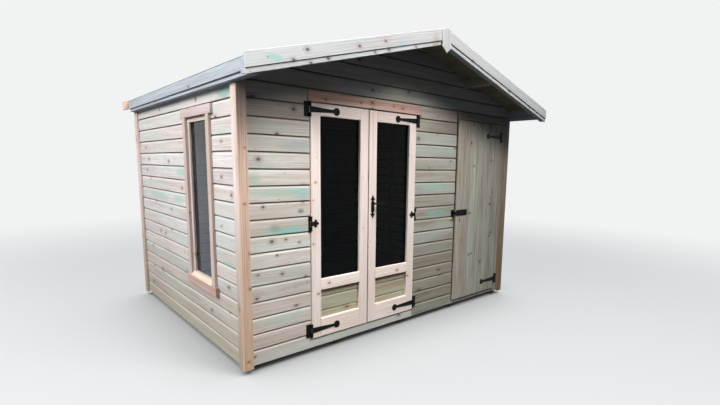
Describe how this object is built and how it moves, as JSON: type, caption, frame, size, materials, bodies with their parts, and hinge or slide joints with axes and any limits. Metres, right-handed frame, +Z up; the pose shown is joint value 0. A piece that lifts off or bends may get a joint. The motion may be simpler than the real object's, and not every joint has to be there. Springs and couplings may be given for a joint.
{
  "type": "timber apex summerhouse with side store",
  "caption": "Hollow timber garden summerhouse with a low apex roof, glazed double doors, a boarded store door and a tall side window.",
  "frame": {"origin": "centre of the footprint, at ground level on the underside of the middle floor bearer", "axes": "+X to the right seen from the front, +Y from the front wall to the back wall, +Z up"},
  "size_m": [3.25, 2.882, 2.4731],
  "materials": {
    "floor_timber": "sawn pressure-treated softwood",
    "framing_timber": "planed pressure-treated softwood",
    "glass": "clear glazing",
    "roof_felt": "mineral-surfaced roofing felt",
    "roof_boards": "tongue and groove softwood boards",
    "black_iron": "black japanned iron",
    "roof_trim": "planed pale softwood with knots",
    "planed_trim": "planed softwood, warm salmon tint",
    "store_door_boards": "vertical tongue and groove boards",
    "cladding": "pressure-treated shiplap, pale with green patches"
  },
  "bodies": {
    "building": {"floor_bearers": "floor_timber", "floor_deck": "floor_timber", "front_wall_left": "cladding", "front_wall_middle": "cladding", "front_wall_right": "cladding", "threshold_boards": "cladding", "front_gable_wall": "cladding", "back_wall": "cladding", "left_wall": "cladding", "right_wall": "cladding", "front_wall_frame": "framing_timber", "back_wall_frame": "framing_timber", "left_wall_frame": "framing_timber", "right_wall_frame": "framing_timber", "front_corner_boards": "planed_trim", "back_corner_boards": "planed_trim", "side_corner_boards": "planed_trim", "door_head_trims": "planed_trim", "window_frame": "planed_trim", "window_glass": "glass", "window_side_trims": "planed_trim", "window_head_trim": "planed_trim", "window_sill": "planed_trim", "roof_boards_left": "roof_boards", "roof_boards_right": "roof_boards", "roof_felt_left": "roof_felt", "roof_felt_right": "roof_felt", "purlins": "framing_timber", "eave_rails": "framing_timber", "verge_rafters": "framing_timber", "fascia_boards": "roof_trim", "front_bargeboards": "roof_trim", "back_bargeboards": "roof_trim", "finials": "roof_trim", "hinge_plates": "black_iron", "bolt_keep": "black_iron"},
    "left_door": {"left_door_frame": "planed_trim", "left_door_glass": "glass", "left_door_panel": "cladding", "left_door_hinges": "black_iron"},
    "right_door": {"right_door_frame": "planed_trim", "right_door_glass": "glass", "right_door_panel": "cladding", "right_door_hinges": "black_iron", "door_handle_plate": "black_iron"},
    "lever": {"door_lever": "black_iron"},
    "store_door": {"store_door_boards": "store_door_boards", "store_door_ledges": "store_door_boards", "store_door_hinges": "black_iron", "store_door_bolt": "black_iron"}
  },
  "joints": [
    {"name": "left_door_hinge", "type": "hinge", "parent": "building", "child": "left_door", "pos_m": [-0.991, -1.236, 1.805], "axis": [0, 0, -1], "range_deg": [0, 150]},
    {"name": "right_door_hinge", "type": "hinge", "parent": "building", "child": "right_door", "pos_m": [0.083, -1.236, 1.805], "axis": [0, 0, 1], "range_deg": [0, 150]},
    {"name": "lever_spindle", "type": "hinge", "parent": "right_door", "child": "lever", "pos_m": [-0.409, -1.2344, 1.117], "axis": [0, 1, 0], "range_deg": [0, 40], "stiffness_Nm_per_rad": 0.6, "springref_deg": -20.05},
    {"name": "store_door_hinge", "type": "hinge", "parent": "building", "child": "store_door", "pos_m": [1.364, -1.246, 1.736], "axis": [0, 0, 1], "range_deg": [0, 150]}
  ]
}
